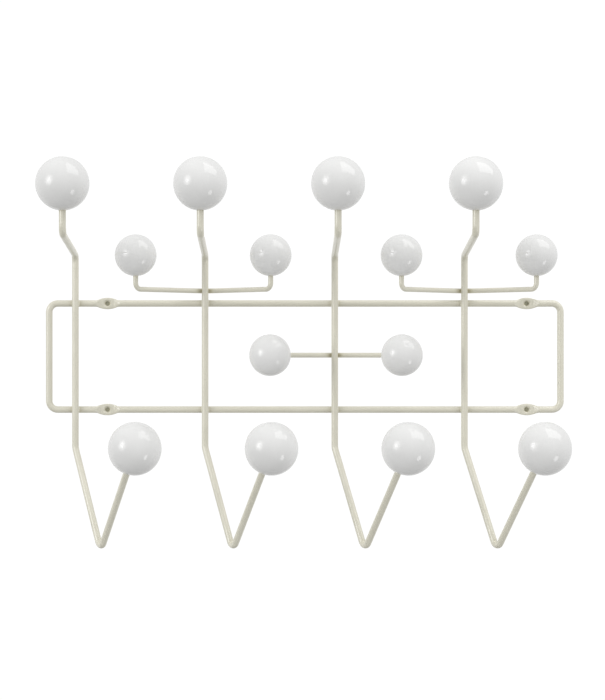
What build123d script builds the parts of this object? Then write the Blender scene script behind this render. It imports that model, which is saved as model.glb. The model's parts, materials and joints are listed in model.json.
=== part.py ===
from build123d import *
import math
import os

# Wall coat rack: a rectangular wire frame, four bent-wire double hooks welded across its front,
# two wires with raised ends above the frame, one straight-ended wire inside it, and a ball on
# every wire end.
#
# Millimetres, +Z up, +X to the right of a person who faces the rack, -Y towards that person.
# The wall is the plane Y = 0, and the origin is the centre of the four wall-screw holes.
# "out" is a distance from the wall, so a point that stands out by 20 has Y = -20.

os.makedirs("parts", exist_ok=True)

# Wire
wire_dia = 6.5  # frame and hooks
thin_dia = 4.8  # peg wires
weld_sink = 0.4  # how far two crossing wires are pressed into each other when welded
end_chamfer = 0.5  # on every cut wire end

# Balls
large_ball_dia = 50.0
small_ball_dia = 40.0
large_spigot = 18.0  # length of wire glued into a large ball
small_spigot = 14.0
glue_room = 1.0  # bore left empty behind the wire end
bore_chamfer = 0.3
mouth_cutter = 2.0  # height of the 45 degree cone that eases the mouth of a bore

# Frame
frame_left = -263.1  # wire axis
frame_right = 239.0
rail_height = 52.1  # wire axis of the rails, above and below the origin
frame_corner = 8.5  # bend radius of the wire axis
lug_proud = 0.15  # the pressed lugs stand this much nearer the wall than the wire

# Screw lugs, pressed flat out of the rails
screw_spacing = 412.0  # along X; along Z it is twice rail_height
screw_hole_dia = 4.2
countersink_dia = 7.2
lug_length = 25.0
lug_width = 11.3
lug_thickness = 2.9
lug_flat = 13.0  # length of the pressed flat between its two ramps

# Hooks, all measured on the wire axis; the sideways distances are from the hook's upright
hook_pitch = 127.0
first_hook = -236.8
hook_count = 4
top_ball_out = 137.0
top_ball_height = 159.4
jog_foot_height = 99.2  # where the upright turns out from the wall
jog_head_height = 113.3  # where it turns up again below the top ball
lower_bend_height = -89.3  # where the upright turns into the lower hook
tip_aside = 27.9  # the low point of the lower hook, at the corner of its two legs
tip_out = 47.5
tip_height = -186.6
low_ball_aside = 65.6
low_ball_out = 120.0
low_ball_height = -85.7
jog_bend = 8.5  # bend radii
lower_bend = 14.0
tip_bend = 6.0

# Peg wires: each is a V seen from above, with its point welded behind an upright
peg_hooks = (1, 3)  # the uprights that carry a wire with raised ends
peg_height = 64.4
peg_reach = 64.5  # from the upright to the raised end, along X
peg_angle = 44.0  # from the wall to the wire, seen from above
peg_ball_height = 96.8
peg_end_bend = 6.0
crossbar_hook = 2  # the upright that carries the wire with straight ends
crossbar_height = 1.3
crossbar_reach = 63.2  # from the upright to the ball centre, along X
crossbar_angle = 42.0
point_bend = 12.0  # bend radius at the point of each V

# Weld beads: the swell of metal and coating round each crossing
bead_dia = 8.8
bead_thickness = 4.2
thin_bead_dia = 7.6
thin_bead_thickness = 3.4

# Worked out from the dimensions above
wire_r = wire_dia / 2
thin_r = thin_dia / 2
large_ball_r = large_ball_dia / 2
small_ball_r = small_ball_dia / 2
frame_out = lug_proud + wire_r
upright_out = frame_out + wire_dia - weld_sink
peg_out = upright_out - wire_r - thin_r + weld_sink
rail_weld_out = frame_out + wire_r - weld_sink / 2
peg_weld_out = peg_out + thin_r - weld_sink / 2
hook_xs = [first_hook + hook_pitch * i for i in range(hook_count)]


def point(x, out, z):
    """The point at x, standing out from the wall by out, at height z."""
    return Vector(x, -out, z)


def short_of(start, end, gap):
    """The point on the line from start to end that stops short of end by gap."""
    return end + (start - end).normalized() * gap


def save(builder, name):
    """Labels the piece and writes it to its own STEP file."""
    builder.part.label = name
    export_step(builder.part, f"parts/{name}.step")


def make_wire(corners, radii, dia):
    """A round wire along straight runs joined by bends, with its cut ends chamfered."""
    with BuildPart() as wire:
        with BuildLine() as route:
            FilletPolyline(*corners, radius=radii)
        with BuildSketch(Plane(origin=route.line @ 0, z_dir=route.line % 0)):
            Circle(dia / 2)
        sweep()
        ends = wire.faces().filter_by(GeomType.PLANE)
        chamfer(ends.edges(), end_chamfer)
    return wire


def make_frame():
    """The closed frame wire, with four screw lugs pressed flat out of its rails."""
    with BuildSketch() as lug_outline:
        with BuildLine():
            ThreePointArc((-lug_length / 2, 0), (0, lug_width / 2), (lug_length / 2, 0))
            ThreePointArc((lug_length / 2, 0), (0, -lug_width / 2), (-lug_length / 2, 0))
        make_face()
    with BuildPart() as frame:
        with BuildLine(Plane.XZ.offset(frame_out)) as loop:
            FilletPolyline(
                (frame_left, -rail_height),
                (frame_right, -rail_height),
                (frame_right, rail_height),
                (frame_left, rail_height),
                radius=frame_corner,
                close=True,
            )
        with BuildSketch(Plane(origin=loop.line @ 0, z_dir=loop.line % 0)):
            Circle(wire_r)
        sweep()
        lug_grid = GridLocations(screw_spacing, 2 * rail_height, 2, 2)
        # the flat plate of each lug, from the wall to half way up the wire
        with BuildSketch(Plane.XZ):
            with lug_grid:
                add(lug_outline.sketch)
        extrude(amount=frame_out)
        # the press: a flat with a ramp at each end, cut down from the front of the wire
        front = frame_out + wire_dia
        ramp = (lug_length - lug_flat) / 2
        ramp_run = ramp * (front - lug_thickness) / (lug_proud + wire_dia - lug_thickness)
        for side in (-1, 1):
            for rail in (-1, 1):
                with BuildSketch(Plane.XY.offset(rail * rail_height)):
                    with BuildLine():
                        Polyline(
                            (side * screw_spacing / 2 - lug_flat / 2, -lug_thickness),
                            (side * screw_spacing / 2 + lug_flat / 2, -lug_thickness),
                            (side * screw_spacing / 2 + lug_flat / 2 + ramp_run, -front),
                            (side * screw_spacing / 2 - lug_flat / 2 - ramp_run, -front),
                            close=True,
                        )
                    make_face()
                extrude(amount=lug_width, both=True, mode=Mode.SUBTRACT)
        # the screw holes, countersunk at the front
        screw_plane = Plane.XZ.offset(lug_thickness)
        with Locations(*[screw_plane * hole for hole in lug_grid.local_locations]):
            CounterSinkHole(screw_hole_dia / 2, countersink_dia / 2, 2 * lug_thickness, 90)
    return frame


def make_hook(x):
    """One double hook: top spigot, jog out from the wall, upright, lower hook, lower spigot."""
    top_ball = point(x, top_ball_out, top_ball_height)
    low_ball = point(x + low_ball_aside, low_ball_out, low_ball_height)
    jog_head = point(x, top_ball_out, jog_head_height)
    tip = point(x + tip_aside, tip_out, tip_height)
    corners = (
        short_of(jog_head, top_ball, large_ball_r - large_spigot),
        jog_head,
        point(x, upright_out, jog_foot_height),
        point(x, upright_out, lower_bend_height),
        tip,
        short_of(tip, low_ball, large_ball_r - large_spigot),
    )
    with BuildPart() as hook:
        add(make_wire(corners, (jog_bend, jog_bend, lower_bend, tip_bend), wire_dia).part)
        # a saddle where each rail is pressed in
        with Locations(point(x, frame_out, rail_height), point(x, frame_out, -rail_height)):
            Cylinder(wire_r, 4 * wire_dia, rotation=(0, 90, 0), mode=Mode.SUBTRACT)
    return hook


def v_corner_out(angle):
    """How far out the corner of a V lies, so that its bend just reaches the upright."""
    return peg_out - point_bend * (1 / math.cos(math.radians(angle)) - 1)


def v_end_out(angle, reach):
    """How far out a V has come at a given reach along X."""
    return v_corner_out(angle) + reach * math.tan(math.radians(angle))


def saddle_for_upright(wire, x, z):
    """The wire with a saddle pressed into it by the upright at x."""
    with BuildPart() as seated:
        add(wire.part)
        with Locations(point(x, upright_out, z)):
            Cylinder(wire_r, 4 * wire_dia, mode=Mode.SUBTRACT)
    return seated


def make_peg_wire(x):
    """The thin wire above the frame, both ends turned up into small balls."""
    end_out = v_end_out(peg_angle, peg_reach)
    spigot_height = peg_ball_height - small_ball_r + small_spigot
    corners = (
        point(x - peg_reach, end_out, spigot_height),
        point(x - peg_reach, end_out, peg_height),
        point(x, v_corner_out(peg_angle), peg_height),
        point(x + peg_reach, end_out, peg_height),
        point(x + peg_reach, end_out, spigot_height),
    )
    wire = make_wire(corners, (peg_end_bend, point_bend, peg_end_bend), thin_dia)
    return saddle_for_upright(wire, x, peg_height)


def make_crossbar(x):
    """The thin wire inside the frame, both ends straight into small balls."""
    end_out = v_end_out(crossbar_angle, crossbar_reach)
    corner = point(x, v_corner_out(crossbar_angle), crossbar_height)
    unglued = small_ball_r - small_spigot
    corners = (
        short_of(corner, point(x - crossbar_reach, end_out, crossbar_height), unglued),
        corner,
        short_of(corner, point(x + crossbar_reach, end_out, crossbar_height), unglued),
    )
    wire = make_wire(corners, (point_bend,), thin_dia)
    return saddle_for_upright(wire, x, crossbar_height)


def make_ball(centre, towards, ball_r, spigot, bore_r):
    """A ball with a blind bore that opens towards the wire it sits on."""
    with BuildPart(Plane(origin=centre, z_dir=towards - centre)) as ball:
        Sphere(ball_r)
        on_base = (Align.CENTER, Align.CENTER, Align.MIN)
        with Locations((0, 0, ball_r - spigot - glue_room)):
            Cylinder(bore_r, ball_r, align=on_base, mode=Mode.SUBTRACT)
        # the eased mouth of the bore
        mouth_height = math.sqrt(ball_r**2 - bore_r**2)
        with Locations((0, 0, mouth_height - bore_chamfer)):
            Cone(bore_r, bore_r + mouth_cutter, mouth_cutter, align=on_base, mode=Mode.SUBTRACT)
    return ball


def make_bead(centre, dia, thickness, wires):
    """The swell of metal round one crossing, cut to fit the two wires it joins."""
    with BuildPart() as bead:
        with BuildSketch(Plane.XY.offset(centre.Z)):
            with Locations((centre.X, centre.Y)):
                Ellipse(dia / 2, thickness / 2)
            split(bisect_by=Plane.YZ.offset(centre.X))
        revolve(axis=Axis(centre, (0, 1, 0)))
        for wire in wires:
            add(wire.part, mode=Mode.SUBTRACT)
    return bead


frame_loop = make_frame()
save(frame_loop, "frame_loop")

hooks = [make_hook(x) for x in hook_xs]
rail_beads = []
for number, (x, hook) in enumerate(zip(hook_xs, hooks), start=1):
    save(hook, f"hook_wire_{number}")
    low_centre = point(x + low_ball_aside, low_ball_out, low_ball_height)
    tip = point(x + tip_aside, tip_out, tip_height)
    top_centre = point(x, top_ball_out, top_ball_height)
    jog_head = point(x, top_ball_out, jog_head_height)
    save(make_ball(top_centre, jog_head, large_ball_r, large_spigot, wire_r), f"top_ball_{number}")
    save(make_ball(low_centre, tip, large_ball_r, large_spigot, wire_r), f"lower_ball_{number}")
    for z in (rail_height, -rail_height):
        weld = point(x, rail_weld_out, z)
        rail_beads.append(make_bead(weld, bead_dia, bead_thickness, (hook, frame_loop)))

peg_beads = []
for number, index in enumerate(peg_hooks, start=1):
    x = hook_xs[index]
    peg_wire = make_peg_wire(x)
    save(peg_wire, f"peg_wire_{number}")
    for side, sign in (("left", -1), ("right", 1)):
        end_x = x + sign * peg_reach
        end_out = v_end_out(peg_angle, peg_reach)
        centre = point(end_x, end_out, peg_ball_height)
        below = point(end_x, end_out, peg_height)
        peg_ball = make_ball(centre, below, small_ball_r, small_spigot, thin_r)
        save(peg_ball, f"peg_ball_{number}_{side}")
    weld = point(x, peg_weld_out, peg_height)
    peg_beads.append(make_bead(weld, thin_bead_dia, thin_bead_thickness, (hooks[index], peg_wire)))

crossbar_x = hook_xs[crossbar_hook]
crossbar = make_crossbar(crossbar_x)
save(crossbar, "crossbar_wire")
for side, sign in (("left", -1), ("right", 1)):
    end_out = v_end_out(crossbar_angle, crossbar_reach)
    centre = point(crossbar_x + sign * crossbar_reach, end_out, crossbar_height)
    corner = point(crossbar_x, v_corner_out(crossbar_angle), crossbar_height)
    save(make_ball(centre, corner, small_ball_r, small_spigot, thin_r), f"crossbar_ball_{side}")
weld = point(crossbar_x, peg_weld_out, crossbar_height)
crossbar_bead = make_bead(
    weld, thin_bead_dia, thin_bead_thickness, (hooks[crossbar_hook], crossbar)
)

with BuildPart() as rail_weld_beads:
    for bead in rail_beads:
        add(bead.part)
save(rail_weld_beads, "rail_weld_beads")

with BuildPart() as peg_weld_beads:
    for bead in peg_beads:
        add(bead.part)
save(peg_weld_beads, "peg_weld_beads")

save(crossbar_bead, "crossbar_weld_bead")
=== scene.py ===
import json
import math

import bmesh
import bpy
import numpy as np
from mathutils import Matrix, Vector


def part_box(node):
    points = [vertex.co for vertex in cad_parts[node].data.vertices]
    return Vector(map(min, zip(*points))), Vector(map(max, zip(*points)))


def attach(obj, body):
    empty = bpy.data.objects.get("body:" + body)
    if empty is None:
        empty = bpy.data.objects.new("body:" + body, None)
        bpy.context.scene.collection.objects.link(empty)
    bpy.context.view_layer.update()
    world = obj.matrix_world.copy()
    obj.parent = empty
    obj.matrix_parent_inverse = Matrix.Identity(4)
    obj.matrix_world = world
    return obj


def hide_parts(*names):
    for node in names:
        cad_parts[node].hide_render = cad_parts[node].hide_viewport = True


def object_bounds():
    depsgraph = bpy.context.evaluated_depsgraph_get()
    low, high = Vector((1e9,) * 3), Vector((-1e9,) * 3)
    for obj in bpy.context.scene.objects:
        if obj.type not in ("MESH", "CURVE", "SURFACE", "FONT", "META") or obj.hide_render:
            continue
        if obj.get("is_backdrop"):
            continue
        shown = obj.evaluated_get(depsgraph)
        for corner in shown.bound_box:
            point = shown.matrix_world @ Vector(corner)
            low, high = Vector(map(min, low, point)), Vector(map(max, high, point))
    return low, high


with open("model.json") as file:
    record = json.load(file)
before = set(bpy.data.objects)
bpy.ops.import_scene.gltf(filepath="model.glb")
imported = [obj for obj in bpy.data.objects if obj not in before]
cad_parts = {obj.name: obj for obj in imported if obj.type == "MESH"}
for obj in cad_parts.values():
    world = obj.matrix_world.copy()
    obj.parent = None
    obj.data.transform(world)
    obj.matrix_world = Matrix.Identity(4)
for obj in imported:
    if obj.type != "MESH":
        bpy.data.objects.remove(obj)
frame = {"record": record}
cad_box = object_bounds()

# The looks of a wall coat rack. Metres, +Z up, the wall is the plane Y = 0 and the front faces -Y.
# "out" is a distance from the wall.

MM = 0.001

# Wires and balls
WIRE_R = 3.25 * MM
THIN_R = 2.4 * MM
LARGE_R = 25 * MM
SMALL_R = 20 * MM
LARGE_SPIGOT = 18 * MM  # wire inside a large ball
SMALL_SPIGOT = 14 * MM
GLUE_ROOM = 1 * MM  # bore behind the wire end
WELD_SINK = 0.4 * MM
CUT_EASE = 0.5 * MM  # chamfer on a wire's cut end

# Frame
FRAME_OUT = 3.4 * MM
FRAME_CORNER = 8.5 * MM
LUG_HALF = 12.5 * MM  # from the hole to the end of the ramp
LUG_FLAT_HALF = 6.5 * MM
LUG_HALF_WIDTH = 5.65 * MM
LUG_ARC_R = 22 * MM  # of the lens outline
LUG_THICK = 2.9 * MM
LUG_EASE = 0.5 * MM  # softens the step from round wire to lens
LUG_BULGE = 0.6  # how much the ramp out of the pressed flat swells
LUG_SQUARE = 3.0  # added to the section's power of 2, a round one, where it is pressed flat
LUG_SQUARE_TO = 0.45  # share of the half length where the section starts to round off
LUG_STEP = 0.35 * MM  # between two sections of a lug
LUG_MARGIN = 2 * MM  # plain wire beside a lug that has sections as close
NO_LUG = 1.0  # distance given where no lug is near
HOLE_EASE = 0.25 * MM  # rounding of the hole's edges
HOLE_R = 2.1 * MM
COUNTERSINK_R = 3.6 * MM

# Hooks: heights and distances of the corners of the bent wire
JOG_FOOT_Z = 99.2 * MM
JOG_HEAD_Z = 113.3 * MM
LOWER_BEND_Z = -89.3 * MM
TIP_ASIDE = 27.9 * MM
TIP_OUT = 47.5 * MM
TIP_Z = -186.6 * MM
JOG_BEND = 8.5 * MM
LOWER_BEND = 14 * MM
TIP_BEND = 6 * MM

# Peg wires
PEG_Z = 64.4 * MM
PEG_END_BEND = 6 * MM
PEG_ANGLE = math.radians(44)
CROSSBAR_ANGLE = math.radians(42)
POINT_BEND = 12 * MM
PEG_HOOKS = (1, 3)  # the uprights that carry a wire with raised ends
CROSSBAR_HOOK = 2  # the upright that carries the wire with straight ends

# A bent wire is thinner and wider than a straight one, by these shares of radius over bend radius
BEND_THIN = 0.10
BEND_WIDE = 0.06

# Painted shade: where wires touch, the coat's colour is darkened to stand for the shade in the
# creases
PAINTED_SHADE_REACH = 8 * MM
PAINTED_SHADE_OPEN = (0.22, 0.92)  # share of open sky: full painted shade below, plain coat above
PAINTED_SHADE_COLOUR = (0.47, 0.425, 0.27)

# Welds: the fillet between two wires, how far it reaches from the middle, and the half sizes along
# X, Y and Z of the metal that the weld pressed out
RAIL_WELD = (1.2 * MM, 4.6 * MM, (4.15 * MM, 2.4 * MM, 5.2 * MM))
THIN_WELD = (1.0 * MM, 3.8 * MM, (3.7 * MM, 1.7 * MM, 3.4 * MM))
WELD_COAT = 0.05 * MM  # a weld's skin over the wires
WELD_DIP = 0.45 * MM  # how far that skin sinks into them at the weld's edge
WELD_FADE = 0.78  # share of the reach where it starts to sink
WELD_LIMIT = 1.15  # no part of a weld is further out than this many reaches
RAY_LIMIT = 1.6  # where the search for its surface starts, in reaches
HALVINGS = 40

NOISE_RANGE = (0.3, 0.7)  # where nearly all of a noise texture's values lie

# Mesh fineness
WIRE_SIDES = 48
RUN_STEP = 3 * MM
BEND_STEP = math.radians(4)
FRAME_SIDES = 64
HOLE_SIDES = 64
BALL_SIDES = 128
BALL_RINGS = 72
BORE_LIP = 0.45 * MM  # rounding of a bore's mouth
LIP_RINGS = 6
BORE_RINGS = 8
BEAD_LEVEL = 5

# Stage: the floor fades out between two distances from its middle
FLOOR_R = 5.0
FLOOR_DROP = 2.3
FLOOR_SIDES = 96
FLOOR_FADE = (2.4, 4.9)
# Discs of painted shade in the screw holes: their place in Y and their gap to the hole's wall
HOLE_BACK_Y = -0.6 * MM
HOLE_BACK_GAP = 0.02 * MM

# Camera, square on to the wall
CAMERA_PLACE = (-0.0347, -2.152, 0)
CAMERA_SHIFT = (0.0296, 0.0093)
LENS = 112.5
SENSOR = 36


# ---------- small helpers ----------

def unit(v):
    return v / np.linalg.norm(v)


def smooth_step(low, high, x):
    t = np.clip((x - low) / (high - low), 0, 1)
    return t * t * (3 - 2 * t)


def corners_of(node):
    low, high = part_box(node)
    return np.array(low), np.array(high)


def ball_centre(node, radius):
    low, high = corners_of(node)
    return np.array([(low[0] + high[0]) / 2, (low[1] + high[1]) / 2, high[2] - radius])


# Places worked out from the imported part
X_WAY, _, Z_WAY = np.eye(3)
mounts = {mount["name"]: mount for mount in frame["record"]["mounts"]}
HOLE_X = mounts["wall_screws"]["dims"]["spacing_x_mm"] / 2 * MM
RAIL_Z = mounts["wall_screws"]["dims"]["spacing_y_mm"] / 2 * MM
HOLES = [(x, z) for x in (-HOLE_X, HOLE_X) for z in (-RAIL_Z, RAIL_Z)]
frame_low, frame_high = corners_of("frame_loop")
FRAME_LEFT = frame_low[0] + WIRE_R
FRAME_RIGHT = frame_high[0] - WIRE_R
hook_boxes = [corners_of(f"hook_wire_{number}") for number in range(1, 5)]
HOOK_XS = [low[0] + WIRE_R for low, high in hook_boxes]
HOOK_Y = hook_boxes[0][1][1] - WIRE_R
THIN_Y = HOOK_Y + WIRE_R + THIN_R - WELD_SINK
CROSSBAR_Z = ball_centre("crossbar_ball_left", SMALL_R)[2]


def make_mesh(name, points, faces):
    """A closed mesh whose faces all look outwards."""
    mesh = bpy.data.meshes.new(name)
    mesh.from_pydata([tuple(p) for p in points], [], faces)
    mesh.calc_loop_triangles()
    corners = np.array([t.vertices[:] for t in mesh.loop_triangles])
    a, b, c = (np.array(points)[corners[:, i]] for i in range(3))
    if np.einsum("ij,ij->i", a, np.cross(b, c)).sum() < 0:
        mesh.flip_normals()
    mesh.polygons.foreach_set("use_smooth", [True] * len(mesh.polygons))
    mesh.update()
    return mesh


def place_mesh(mesh, material):
    """An object of the mesh's own name that holds it."""
    holder = bpy.data.objects.new(mesh.name, mesh)
    bpy.context.scene.collection.objects.link(holder)
    mesh.materials.append(material)
    return holder


def make_object(name, points, faces, material, node):
    """A smooth mesh piece that stands for a CAD node."""
    piece = place_mesh(make_mesh(name, points, faces), material)
    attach(piece, "root")
    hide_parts(node)
    return piece


def circle(sides):
    """The cosines and sines of evenly spread angles."""
    angles = np.arange(sides) * 2 * math.pi / sides
    return np.cos(angles), np.sin(angles)


def ring_faces(rings, sides, closed=False):
    """Quads between neighbouring rings of points."""
    faces = []
    for i in range(rings if closed else rings - 1):
        a, b = i * sides, ((i + 1) % rings) * sides
        for j in range(sides):
            k = (j + 1) % sides
            faces.append((a + j, a + k, b + k, b + j))
    return faces


def capped_faces(rings, sides):
    """The quads between rings, with a flat face over the first and the last ring."""
    last = (rings - 1) * sides
    return ring_faces(rings, sides) + [tuple(range(sides))[::-1], tuple(range(last, last + sides))]


# ---------- bent wire ----------

def bend_route(corners, radii):
    """The axis of a bent wire, as points, with a pull for each point: a vector towards the inside
    of its bend, as long as the bend is sharp, and nothing on a straight run."""
    corners = [np.array(c, dtype=float) for c in corners]
    points, pulls = [], []

    def lay_run(start, end):
        count = max(2, math.ceil(np.linalg.norm(end - start) / RUN_STEP))
        for step in range(count + 1):
            points.append(start + (end - start) * step / count)
            pulls.append(np.zeros(3))

    run_start = corners[0]
    for before, corner, after, radius in zip(corners, corners[1:], corners[2:], radii):
        ahead, onward = unit(corner - before), unit(after - corner)
        turn = math.acos(np.clip(ahead @ onward, -1, 1))
        inward = unit(onward - ahead * (ahead @ onward))
        trim = radius * math.tan(turn / 2)
        bend_start = corner - ahead * trim
        lay_run(run_start, bend_start)
        centre = bend_start + inward * radius
        steps = max(6, math.ceil(turn / BEND_STEP))
        for step in range(1, steps):
            angle = turn * step / steps
            spoke = inward * math.cos(angle) - ahead * math.sin(angle)
            points.append(centre - spoke * radius)
            pulls.append(spoke * math.sin(math.pi * step / steps) ** 0.7 / radius)
        run_start = corner + onward * trim
    lay_run(run_start, corners[-1])
    return np.array(points), np.array(pulls)


def tube(points, pulls, radius):
    """Rings along the axis of a wire, slightly flattened in its bends, with eased cut ends."""
    tangents = np.gradient(points, axis=0)
    tangents /= np.linalg.norm(tangents, axis=1)[:, None]
    across = unit(np.cross(tangents[0], (0.37, 0.81, 0.45)))
    cosines, sines = circle(WIRE_SIDES)
    rings = []
    for point, tangent, pull in zip(points, tangents, pulls):
        across = unit(across - tangent * (across @ tangent))
        other = np.cross(tangent, across)
        ring = radius * (np.outer(cosines, across) + np.outer(sines, other))
        sharp = np.linalg.norm(pull)
        if sharp > 0:
            inward = pull / sharp
            aside = np.cross(tangent, inward)
            ring -= np.outer(ring @ inward, inward) * BEND_THIN * sharp * radius
            ring += np.outer(ring @ aside, aside) * BEND_WIDE * sharp * radius
        rings.append(point + ring)
    eased_start = points[0] + (rings[0] - points[0]) * (1 - CUT_EASE / radius)
    eased_end = points[-1] + (rings[-1] - points[-1]) * (1 - CUT_EASE / radius)
    rings[0] = rings[0] + tangents[0] * CUT_EASE
    rings[-1] = rings[-1] - tangents[-1] * CUT_EASE
    rings = [eased_start] + rings + [eased_end]
    return np.vstack(rings), capped_faces(len(rings), WIRE_SIDES)


def make_wire(name, corners, radii, radius, material):
    """A coated wire through the corners, with a bend of the given radius at each inner one."""
    points, pulls = bend_route(corners, radii)
    verts, faces = tube(points, pulls, radius)
    return make_object(name + "_coated", verts, faces, material, name)


# ---------- balls ----------

def make_ball(node, centre, towards, radius, spigot, bore_r, material):
    """A turned ball, lacquered over the lip of its blind bore."""
    axis = unit(np.array(towards) - centre)
    mouth_angle = math.asin((bore_r + BORE_LIP) / radius)
    profile = []  # distance from the axis, height along the axis, from the far pole to the bore
    for step in range(1, BALL_RINGS + 1):
        angle = math.pi - (math.pi - mouth_angle) * step / BALL_RINGS
        profile.append((radius * math.sin(angle), radius * math.cos(angle)))
    mouth_z = radius * math.cos(mouth_angle)
    for step in range(1, LIP_RINGS + 1):
        angle = math.pi / 2 * step / LIP_RINGS
        rounding = BORE_LIP * (1 - math.sin(angle))
        profile.append((bore_r + rounding, mouth_z - BORE_LIP * (1 - math.cos(angle))))
    wall_z = mouth_z - BORE_LIP
    floor_z = radius - spigot - GLUE_ROOM
    for step in range(1, BORE_RINGS + 1):
        profile.append((bore_r, wall_z + (floor_z - wall_z) * step / BORE_RINGS))
    across = unit(np.cross(axis, (0.31, 0.22, 0.93)))
    other = np.cross(axis, across)
    cosines, sines = circle(BALL_SIDES)
    spokes = np.outer(cosines, across) + np.outer(sines, other)
    verts = [centre + spokes * r + axis * z for r, z in profile]
    verts = np.vstack(verts + [centre - axis * radius, centre + axis * floor_z])
    faces = ring_faces(len(profile), BALL_SIDES)
    pole, floor = len(verts) - 2, len(verts) - 1
    last = (len(profile) - 1) * BALL_SIDES
    for j in range(BALL_SIDES):
        k = (j + 1) % BALL_SIDES
        faces.append((pole, k, j))
        faces.append((floor, last + j, last + k))
    return make_object(node + "_lacquered", verts, faces, material, node)


# ---------- frame ----------

def lug_section(u):
    """The wire's section at a distance u from a screw hole: half width, front and back heights
    from the wire axis, and how square its corners are."""
    u = abs(u)
    lens = math.sqrt(max(LUG_ARC_R ** 2 - u ** 2, 0)) - (LUG_ARC_R - LUG_HALF_WIDTH)
    gap = lens - WIRE_R
    half = WIRE_R + (gap + math.hypot(gap, LUG_EASE)) / 2
    half -= LUG_EASE ** 2 / 4 / (abs(gap) + LUG_EASE)
    rise = np.clip((u - LUG_FLAT_HALF) / (LUG_HALF - LUG_FLAT_HALF), 0, 1)
    rise = min(rise * (1 + LUG_BULGE * rise * (1 - rise)), 1)
    pressed = LUG_THICK - FRAME_OUT
    front = pressed + (WIRE_R - pressed) * rise
    flatness = 1 - smooth_step(LUG_SQUARE_TO * LUG_HALF, LUG_HALF, u)
    back = -WIRE_R - (FRAME_OUT - WIRE_R) * flatness
    return half, front, back, 2 + LUG_SQUARE * flatness


def frame_route(left, right, rail_z):
    """Points round the frame's axis, with the outward direction and the nearest lug's distance."""
    r = FRAME_CORNER
    points, outs, lugs = [], [], []

    def rail(x0, x1, z, out):
        x = x0
        way = 1 if x1 > x0 else -1
        while (x1 - x) * way > 1e-9:
            u = min(abs(x - HOLE_X), abs(x + HOLE_X))
            points.append((x, z))
            outs.append(out)
            lugs.append(u)
            near_lug = u < LUG_HALF + LUG_MARGIN
            x += way * (LUG_STEP if near_lug else min(RUN_STEP, u - LUG_HALF - LUG_MARGIN / 2))

    def side(z0, z1, x, out):
        count = math.ceil(abs(z1 - z0) / RUN_STEP)
        for step in range(count):
            points.append((x, z0 + (z1 - z0) * step / count))
            outs.append(out)
            lugs.append(NO_LUG)

    def corner(cx, cz, start):
        count = math.ceil(math.pi / 2 / BEND_STEP)
        for step in range(count):
            angle = start - math.pi / 2 * step / count
            out = (math.cos(angle), math.sin(angle))
            points.append((cx + r * out[0], cz + r * out[1]))
            outs.append(out)
            lugs.append(NO_LUG)

    rail(left + r, right - r, rail_z, (0, 1))
    corner(right - r, rail_z - r, math.pi / 2)
    side(rail_z - r, -rail_z + r, right, (1, 0))
    corner(right - r, -rail_z + r, 0)
    rail(right - r, left + r, -rail_z, (0, -1))
    corner(left + r, -rail_z + r, -math.pi / 2)
    side(-rail_z + r, rail_z - r, left, (-1, 0))
    corner(left + r, rail_z - r, math.pi)
    return points, outs, lugs


def make_frame(material):
    """The closed frame wire with its four drilled lugs."""
    points, outs, lugs = frame_route(FRAME_LEFT, FRAME_RIGHT, RAIL_Z)
    c, s = circle(FRAME_SIDES)
    rings = []
    for (x, z), (ox, oz), u in zip(points, outs, lugs):
        half, front, back, power = lug_section(u)
        middle, thick = (front + back) / 2, (front - back) / 2
        wide = half * np.sign(c) * np.abs(c) ** (2 / power)
        high = middle + thick * np.sign(s) * np.abs(s) ** (2 / power)
        rings.append(np.column_stack((x + ox * wide, -(FRAME_OUT + high), z + oz * wide)))
    verts, faces = np.vstack(rings), ring_faces(len(rings), FRAME_SIDES, closed=True)
    drill_lugs(make_object("frame_loop_coated", verts, faces, material, "frame_loop"))


def hole_cutter():
    """A closed turned shape that cuts four countersunk holes with eased edges."""
    cone = COUNTERSINK_R - HOLE_R
    ease = HOLE_EASE
    profile = [  # distance from the hole's axis, Y
        (COUNTERSINK_R + 2.0 * MM, -LUG_THICK - 1.6 * MM),
        (COUNTERSINK_R + 0.35 * MM, -LUG_THICK - 0.12 * MM),
        (COUNTERSINK_R + 0.1 * MM, -LUG_THICK + 0.02 * MM),
        (COUNTERSINK_R - 0.15 * MM, -LUG_THICK + 0.17 * MM),
        (HOLE_R + ease, -LUG_THICK + cone - ease),
        (HOLE_R + 0.08 * MM, -LUG_THICK + cone - 0.04 * MM),
        (HOLE_R, -LUG_THICK + cone + ease),
        (HOLE_R, -0.3 * MM),
        (HOLE_R + 0.08 * MM, -0.1 * MM),
        (HOLE_R + ease, 0.02 * MM),
        (HOLE_R + 1 * MM, 0.6 * MM),
    ]
    cosines, sines = circle(HOLE_SIDES)
    verts, faces = [], []
    for x, z in HOLES:
        base = len(verts) * HOLE_SIDES
        for r, y in profile:
            depth = np.full(HOLE_SIDES, y)
            verts.append(np.column_stack((x + r * cosines, depth, z + r * sines)))
        shape = capped_faces(len(profile), HOLE_SIDES)
        faces += [tuple(base + i for i in face) for face in shape]
    mesh = make_mesh("lug_drill", np.vstack(verts), faces)
    cutter = bpy.data.objects.new("lug_drill", mesh)
    bpy.context.scene.collection.objects.link(cutter)
    return cutter


def drill_lugs(piece):
    """Cuts the screw holes out of the frame."""
    cutter = hole_cutter()
    cut = piece.modifiers.new("drill", "BOOLEAN")
    cut.operation = "DIFFERENCE"
    cut.solver = "EXACT"
    cut.object = cutter
    graph = bpy.context.evaluated_depsgraph_get()
    drilled = bpy.data.meshes.new_from_object(piece.evaluated_get(graph))
    piece.modifiers.clear()
    piece.data = drilled
    piece.data.name = "frame_loop_coated"
    bpy.data.objects.remove(cutter)
    piece.data.polygons.foreach_set("use_smooth", [True] * len(piece.data.polygons))
    piece.data.set_sharp_from_angle(angle=math.radians(40))


# ---------- weld beads ----------

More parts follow.
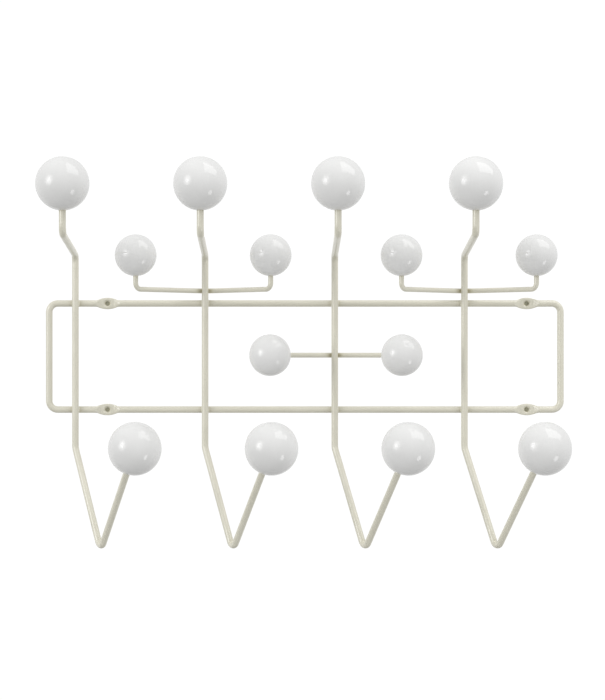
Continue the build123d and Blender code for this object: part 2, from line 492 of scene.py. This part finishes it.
def sphere_grid(level):
    """Directions of a subdivided icosahedron and its triangles."""
    ball = bmesh.new()
    bmesh.ops.create_icosphere(ball, subdivisions=level, radius=1)
    dirs = np.array([v.co[:] for v in ball.verts])
    faces = [tuple(v.index for v in f.verts) for f in ball.faces]
    ball.free()
    return dirs, faces


def cylinder_gap(points, through, along, radius):
    """Distance of points from the surface of a long straight wire."""
    offset = points - through
    offset = offset - np.outer(offset @ along, along)
    return np.linalg.norm(offset, axis=1) - radius


def bend_gap(points, centre, bend, radius):
    """Distance of points from the surface of a wire bent level round a centre."""
    offset = points - centre
    aside = np.hypot(offset[:, 0], offset[:, 1]) - bend
    return np.hypot(aside, offset[:, 2]) - radius


def bead_points(dirs, weld, gaps, reach, fillet, swell):
    """Where rays from the weld leave the two wires, the fillet between them and the lens of
    metal that the weld pressed out."""
    near = np.zeros(len(dirs))
    far = np.full(len(dirs), RAY_LIMIT * reach)
    for _ in range(HALVINGS):
        middle = (near + far) / 2
        points = weld + dirs * middle[:, None]
        a, b = gaps(points)
        h = np.clip(0.5 + 0.5 * (b - a) / fillet, 0, 1)
        joined = b + (a - b) * h - fillet * h * (1 - h)
        away = np.linalg.norm(points - weld, axis=1)
        skin = WELD_COAT - WELD_DIP * smooth_step(WELD_FADE * reach, reach, away)
        inside = (joined < skin) & (away < WELD_LIMIT * reach)
        near = np.where(inside, middle, near)
        far = np.where(inside, far, middle)
    lens = 1 / np.linalg.norm(dirs / np.array(swell), axis=1)
    return weld + dirs * np.maximum(near, lens)[:, None]


def make_beads(name, welds, node, material, fillet, reach, swell):
    """One closed swell for each weld, a (middle, gaps) pair, all in one piece."""
    dirs, tris = sphere_grid(BEAD_LEVEL)
    verts, faces = [], []
    for weld, gaps in welds:
        base = len(dirs) * len(verts)
        verts.append(bead_points(dirs, weld, gaps, reach, fillet, swell))
        faces += [tuple(base + i for i in tri) for tri in tris]
    return make_object(name, np.vstack(verts), faces, material, node)


# ---------- materials ----------

def new_material(name):
    """A material, its nodes and links, its shader, and each point's place in the part's frame."""
    material = bpy.data.materials.new(name)
    material.use_nodes = True
    nodes, links = material.node_tree.nodes, material.node_tree.links
    shader = nodes["Principled BSDF"]
    place = nodes.new("ShaderNodeTexCoord")
    return material, nodes, links, shader, place.outputs["Object"]


def noise(nodes, links, place, scale, detail):
    node = nodes.new("ShaderNodeTexNoise")
    node.inputs["Scale"].default_value = scale
    node.inputs["Detail"].default_value = detail
    links.new(place, node.inputs["Vector"])
    return node.outputs["Fac"]


def map_range(nodes, links, value, start, end, smooth=False):
    """The value, moved from one range to another and held inside it."""
    node = nodes.new("ShaderNodeMapRange")
    node.interpolation_type = "SMOOTHSTEP" if smooth else "LINEAR"
    node.inputs["From Min"].default_value = start[0]
    node.inputs["From Max"].default_value = start[1]
    node.inputs["To Min"].default_value = end[0]
    node.inputs["To Max"].default_value = end[1]
    links.new(value, node.inputs["Value"])
    return node.outputs["Result"]


def spread(nodes, links, value, low, high):
    """Noise, which stays near its middle, stretched to run from low to high."""
    return map_range(nodes, links, value, NOISE_RANGE, (low, high))


def colour_mix(nodes, links, factor, dark, light):
    """Dark where the factor is 0 and light where it is 1. Each is a colour or a socket."""
    node = nodes.new("ShaderNodeMix")
    node.data_type = "RGBA"
    for socket, colour in ((node.inputs["A"], dark), (node.inputs["B"], light)):
        if isinstance(colour, tuple):
            socket.default_value = (*colour, 1)
        else:
            links.new(colour, socket)
    links.new(factor, node.inputs["Factor"])
    return node.outputs["Result"]


def clouded(nodes, links, place, scale, detail, dark, light):
    """A colour that drifts between two near shades."""
    cloud = noise(nodes, links, place, scale, detail)
    return colour_mix(nodes, links, spread(nodes, links, cloud, 0, 1), dark, light)


def bump(nodes, links, height, depth, strength, under=None):
    node = nodes.new("ShaderNodeBump")
    node.inputs["Distance"].default_value = depth
    node.inputs["Strength"].default_value = strength
    links.new(height, node.inputs["Height"])
    if under is not None:
        links.new(under, node.inputs["Normal"])
    return node.outputs["Normal"]


def painted_crease_shade(nodes, links, colour):
    """The colour, darkened by painted shade where another surface comes close."""
    open_sky = nodes.new("ShaderNodeAmbientOcclusion")
    open_sky.samples = 12
    open_sky.inputs["Distance"].default_value = PAINTED_SHADE_REACH
    ease = map_range(nodes, links, open_sky.outputs["AO"], PAINTED_SHADE_OPEN, (0, 1), smooth=True)
    return colour_mix(nodes, links, ease, PAINTED_SHADE_COLOUR, colour)


def powder_coat():
    """Warm off-white powder coat: satin, with fine orange peel and faint clouding, and darkened by
    painted shade in the creases beside a weld."""
    material, nodes, links, shader, place = new_material("powder_coat_warm_white")
    colour = clouded(nodes, links, place, 38, 3, (0.709, 0.685, 0.569), (0.747, 0.723, 0.607))
    # Painted shade: the coat's colour is darkened where ambient occlusion finds a nearby surface
    links.new(painted_crease_shade(nodes, links, colour), shader.inputs["Base Color"])
    peel = noise(nodes, links, place, 900, 2)
    grain = noise(nodes, links, place, 3200, 1)
    links.new(spread(nodes, links, peel, 0.27, 0.32), shader.inputs["Roughness"])
    soft = bump(nodes, links, peel, 0.06 * MM, 0.20)
    links.new(bump(nodes, links, grain, 0.015 * MM, 0.15, soft), shader.inputs["Normal"])
    shader.inputs["IOR"].default_value = 1.85
    return material


def ball_lacquer():
    """White gloss lacquer over turned wood."""
    material, nodes, links, shader, place = new_material("ball_gloss_white")
    colour = clouded(nodes, links, place, 24, 2, (0.790, 0.790, 0.782), (0.815, 0.815, 0.808))
    links.new(colour, shader.inputs["Base Color"])
    wave = noise(nodes, links, place, 170, 1)
    links.new(spread(nodes, links, wave, 0.05, 0.07), shader.inputs["Roughness"])
    links.new(bump(nodes, links, wave, 0.05 * MM, 0.12), shader.inputs["Normal"])
    shader.inputs["IOR"].default_value = 1.5
    shader.inputs["Coat Weight"].default_value = 0.15
    shader.inputs["Coat Roughness"].default_value = 0.03
    shader.inputs["Coat IOR"].default_value = 1.5
    return material


def floor_paint():
    """Pale floor that fades into the studio towards its rim."""
    material, nodes, links, shader, place = new_material("pale_floor")
    colour = clouded(nodes, links, place, 3, 3, (0.42, 0.42, 0.415), (0.45, 0.45, 0.445))
    links.new(colour, shader.inputs["Base Color"])
    shader.inputs["Roughness"].default_value = 0.7
    far = nodes.new("ShaderNodeVectorMath")
    far.operation = "LENGTH"
    links.new(place, far.inputs[0])
    fade = map_range(nodes, links, far.outputs["Value"], FLOOR_FADE, (1, 0), smooth=True)
    links.new(fade, shader.inputs["Alpha"])
    return material


# ---------- the rack ----------

def make_hook(number, x, coat, lacquer):
    """A double hook with the balls on its two ends."""
    top = ball_centre(f"top_ball_{number}", LARGE_R)
    foot = ball_centre(f"lower_ball_{number}", LARGE_R)
    jog_head = np.array([x, top[1], JOG_HEAD_Z])
    tip = np.array([x + TIP_ASIDE, -TIP_OUT, TIP_Z])
    inside = LARGE_R - LARGE_SPIGOT
    corners = (
        top + unit(jog_head - top) * inside,
        jog_head,
        (x, HOOK_Y, JOG_FOOT_Z),
        (x, HOOK_Y, LOWER_BEND_Z),
        tip,
        foot + unit(tip - foot) * inside,
    )
    bends = (JOG_BEND, JOG_BEND, LOWER_BEND, TIP_BEND)
    make_wire(f"hook_wire_{number}", corners, bends, WIRE_R, coat)
    make_ball(f"top_ball_{number}", top, jog_head, LARGE_R, LARGE_SPIGOT, WIRE_R, lacquer)
    make_ball(f"lower_ball_{number}", foot, tip, LARGE_R, LARGE_SPIGOT, WIRE_R, lacquer)


def point_corner(x, angle, z):
    """The corner of a thin wire's V, whose bend just reaches the upright in front of it."""
    return np.array([x, THIN_Y + POINT_BEND * (1 / math.cos(angle) - 1), z])


def make_peg_wire(number, x, coat, lacquer):
    """A thin wire with both ends turned up into small balls."""
    ends = []
    for side in ("left", "right"):
        ball = f"peg_ball_{number}_{side}"
        centre = ball_centre(ball, SMALL_R)
        below = np.array([centre[0], centre[1], PEG_Z])
        ends += [centre - Z_WAY * (SMALL_R - SMALL_SPIGOT), below]
        make_ball(ball, centre, below, SMALL_R, SMALL_SPIGOT, THIN_R, lacquer)
    left_end, left_below, right_end, right_below = ends
    corners = (left_end, left_below, point_corner(x, PEG_ANGLE, PEG_Z), right_below, right_end)
    bends = (PEG_END_BEND, POINT_BEND, PEG_END_BEND)
    make_wire(f"peg_wire_{number}", corners, bends, THIN_R, coat)


def make_crossbar(x, coat, lacquer):
    """A thin wire with a small ball on each straight end."""
    corner = point_corner(x, CROSSBAR_ANGLE, CROSSBAR_Z)
    ends = []
    for side in ("left", "right"):
        ball = f"crossbar_ball_{side}"
        centre = ball_centre(ball, SMALL_R)
        ends.append(centre + unit(corner - centre) * (SMALL_R - SMALL_SPIGOT))
        make_ball(ball, centre, corner, SMALL_R, SMALL_SPIGOT, THIN_R, lacquer)
    make_wire("crossbar_wire", (ends[0], corner, ends[1]), (POINT_BEND,), THIN_R, coat)


def upright_weld(x, z, gap_behind):
    """The middle of a weld on an upright, and a function that gives how far points are from the
    upright and from the wire behind it."""
    upright = np.array([x, HOOK_Y, z])

    def gaps(points):
        return cylinder_gap(points, upright, Z_WAY, WIRE_R), gap_behind(points)

    return np.array([x, HOOK_Y + WIRE_R - WELD_SINK / 2, z]), gaps


def rail_weld(x, z):
    """A weld between an upright and a rail."""
    rail = np.array([x, -FRAME_OUT, z])
    return upright_weld(x, z, lambda points: cylinder_gap(points, rail, X_WAY, WIRE_R))


def thin_weld(x, z):
    """A weld between an upright and the bend of the thin wire behind it."""
    centre = np.array([x, THIN_Y - POINT_BEND, z])
    return upright_weld(x, z, lambda points: bend_gap(points, centre, POINT_BEND, THIN_R))


def make_welds(coat):
    """The swells round all eleven crossings, in one piece for each kind."""
    rails = [rail_weld(x, z) for x in HOOK_XS for z in (RAIL_Z, -RAIL_Z)]
    make_beads("rail_welds_coated", rails, "rail_weld_beads", coat, *RAIL_WELD)
    pegs = [thin_weld(HOOK_XS[index], PEG_Z) for index in PEG_HOOKS]
    make_beads("peg_welds_coated", pegs, "peg_weld_beads", coat, *THIN_WELD)
    bar = [thin_weld(HOOK_XS[CROSSBAR_HOOK], CROSSBAR_Z)]
    make_beads("crossbar_weld_coated", bar, "crossbar_weld_bead", coat, *THIN_WELD)


def make_rack():
    """Every piece of the rack, in its place."""
    coat, lacquer = powder_coat(), ball_lacquer()
    make_frame(coat)
    for number, x in enumerate(HOOK_XS, 1):
        make_hook(number, x, coat, lacquer)
    for number, index in enumerate(PEG_HOOKS, 1):
        make_peg_wire(number, HOOK_XS[index], coat, lacquer)
    make_crossbar(HOOK_XS[CROSSBAR_HOOK], coat, lacquer)
    make_welds(coat)


# ---------- stage, light and camera ----------

def make_stage(name, points, faces, material):
    """A flat mesh that is scenery and not part of the rack."""
    mesh = bpy.data.meshes.new(name)
    mesh.from_pydata(points, [], faces)
    place_mesh(mesh, material)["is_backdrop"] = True


def make_floor():
    """A round pale floor, well below the rack."""
    cosines, sines = circle(FLOOR_SIDES)
    rim = [(FLOOR_R * c, FLOOR_R * s, -FLOOR_DROP) for c, s in zip(cosines, sines)]
    faces = [(0, 1 + i, 1 + (i + 1) % FLOOR_SIDES) for i in range(FLOOR_SIDES)]
    make_stage("floor", [(0, 0, -FLOOR_DROP)] + rim, faces, floor_paint())


def painted_hole_shade():
    """Painted shade: a dull dark colour that stands for the shadow seen through the screw holes."""
    material, nodes, links, shader, place = new_material("painted_shade_hole_disc")
    colour = clouded(nodes, links, place, 60, 2, (0.34, 0.33, 0.24), (0.40, 0.39, 0.29))
    links.new(colour, shader.inputs["Base Color"])
    shader.inputs["Roughness"].default_value = 0.9
    return material


def make_hole_shade_discs():
    """A disc near the wall in each screw hole, coloured as painted shade: it stands for the shadowed
    backdrop seen through the hole.
    """
    cosines, sines = circle(WIRE_SIDES)
    r = HOLE_R - HOLE_BACK_GAP
    points = [(x + r * c, HOLE_BACK_Y, z + r * s) for x, z in HOLES for c, s in zip(cosines, sines)]
    faces = [tuple(range(i * WIRE_SIDES, (i + 1) * WIRE_SIDES)) for i in range(len(HOLES))]
    make_stage("hole_painted_shade_discs", points, faces, painted_hole_shade())


def make_panel(shape, name, centre, across, up, radiance):
    """A soft light panel with the given sides, shining towards the rack, invisible to the camera."""
    width, height = np.linalg.norm(across), np.linalg.norm(up)
    light = bpy.data.lights.new(name, "AREA")
    light.shape = shape
    light.size = width
    light.size_y = height
    area = width * height * (math.pi / 4 if shape == "ELLIPSE" else 1)
    light.energy = radiance * math.pi * area
    side = unit(np.array(across))
    back = unit(np.cross(side, up))
    if back @ np.array(centre) < 0:
        back = -back
    top = np.cross(back, side)
    panel = bpy.data.objects.new(name, light)
    rows = [[side[i], top[i], back[i], centre[i]] for i in range(3)]
    panel.matrix_world = Matrix(rows + [[0, 0, 0, 1]])
    panel.visible_camera = False
    bpy.context.scene.collection.objects.link(panel)


# How bright the studio is towards each of its eight corners (left/right, front/back, low/high),
# and of the white backdrop straight behind the rack.
STUDIO = {
    "left_front_low": 0.27,
    "left_front_high": 0.78,
    "right_front_low": 0.72,
    "right_front_high": 0.8,
    "left_back_low": 0.95,
    "left_back_high": 0.8,
    "right_back_low": 0.8,
    "right_back_high": 0.75,
}
BACKDROP = 1.03
BACKDROP_EDGE = (0.955, 0.977)  # share of a direction that points into the wall: outer, full white

# A soft glow round the window on the left: its direction, the angles where it ends and where it is
# full, and its brightness.
GLOW = (-0.80, -0.57, 0.21)
GLOW_EDGE = math.radians(27)
GLOW_FULL = math.radians(9)
GLOW_LEVEL = 1.1

# Soft light panels: shape, centre, the two sides, and how bright they look
PANELS = (
    ("ELLIPSE", "window_left", (-2.16, -1.54, 0.57), (0.44, -0.62, 0.0), (0.1, 0.1, 0.88), 2.6),
    ("ELLIPSE", "window_veil", (-2.24, -1.60, 0.59), (0.86, -1.20, 0.0), (0.2, 0.2, 1.70), 1.4),
    ("RECTANGLE", "ceiling_right", (2.90, -0.58, 2.90), (5.08, 0.15, 1.20), (0.0, 1.85, 1.31), 1.7),
    ("ELLIPSE", "floor_glow", (1.86, -1.47, -1.66), (0.50, 0.64, 0.0), (-0.46, 0.36, -0.83), 3.0),
)


def make_world():
    """A soft studio: each direction's light is blended from the eight corners, with the glow added
    and the white backdrop over it."""
    world = bpy.data.worlds.new("studio")
    world.use_nodes = True
    bpy.context.scene.world = world
    nodes, links = world.node_tree.nodes, world.node_tree.links
    way = nodes.new("ShaderNodeTexCoord").outputs["Generated"]
    split = nodes.new("ShaderNodeSeparateXYZ")
    links.new(way, split.inputs["Vector"])

    def ramp(axis, low, high):
        return map_range(nodes, links, split.outputs[axis], (low, high), (0, 1), smooth=True)

    def blend(factor, first, second):
        node = nodes.new("ShaderNodeMix")
        node.data_type = "FLOAT"
        links.new(factor, node.inputs["Factor"])
        for value, socket in ((first, node.inputs["A"]), (second, node.inputs["B"])):
            if isinstance(value, float):
                socket.default_value = value
            else:
                links.new(value, socket)
        return node.outputs["Result"]

    aside, behind, height = ramp("X", -0.6, 0.6), ramp("Y", -0.3, 0.7), ramp("Z", -0.6, 0.6)
    levels = []
    for depth in ("front", "back"):
        for level in ("low", "high"):
            sides = STUDIO[f"left_{depth}_{level}"], STUDIO[f"right_{depth}_{level}"]
            levels.append(blend(aside, *sides))
    front = blend(height, levels[0], levels[1])
    back = blend(height, levels[2], levels[3])
    room = blend(behind, front, back)
    towards = nodes.new("ShaderNodeVectorMath")
    towards.operation = "DOT_PRODUCT"
    links.new(way, towards.inputs[0])
    towards.inputs[1].default_value = unit(np.array(GLOW))
    edges = (math.cos(GLOW_EDGE), math.cos(GLOW_FULL))
    halo = map_range(nodes, links, towards.outputs["Value"], edges, (0, GLOW_LEVEL), smooth=True)
    lit = nodes.new("ShaderNodeMath")
    links.new(room, lit.inputs[0])
    links.new(halo, lit.inputs[1])
    total = blend(ramp("Y", *BACKDROP_EDGE), lit.outputs[0], BACKDROP)
    background = nodes["Background"]
    links.new(total, background.inputs["Strength"])
    background.inputs["Color"].default_value = (1, 1, 1, 1)


def make_camera():
    """The photograph's view: square on, a little left of the screw holes' centre."""
    camera = bpy.data.cameras.new("camera")
    camera.sensor_width = SENSOR
    camera.lens = LENS
    camera.shift_x, camera.shift_y = CAMERA_SHIFT
    camera.clip_start = 0.01
    camera.clip_end = 50
    holder = bpy.data.objects.new("camera", camera)
    holder.location = CAMERA_PLACE
    holder.rotation_euler = (math.pi / 2, 0, 0)
    bpy.context.scene.collection.objects.link(holder)
    bpy.context.scene.camera = holder


# ---------- everything in its place ----------

make_rack()
make_floor()
make_hole_shade_discs()
make_world()
for panel in PANELS:
    make_panel(*panel)
make_camera()
bpy.context.scene.view_settings.view_transform = "Standard"

sizes = {"cad": cad_box, "visual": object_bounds()}
sizes = {name: [[float(v) for v in corner] for corner in box] for name, box in sizes.items()}
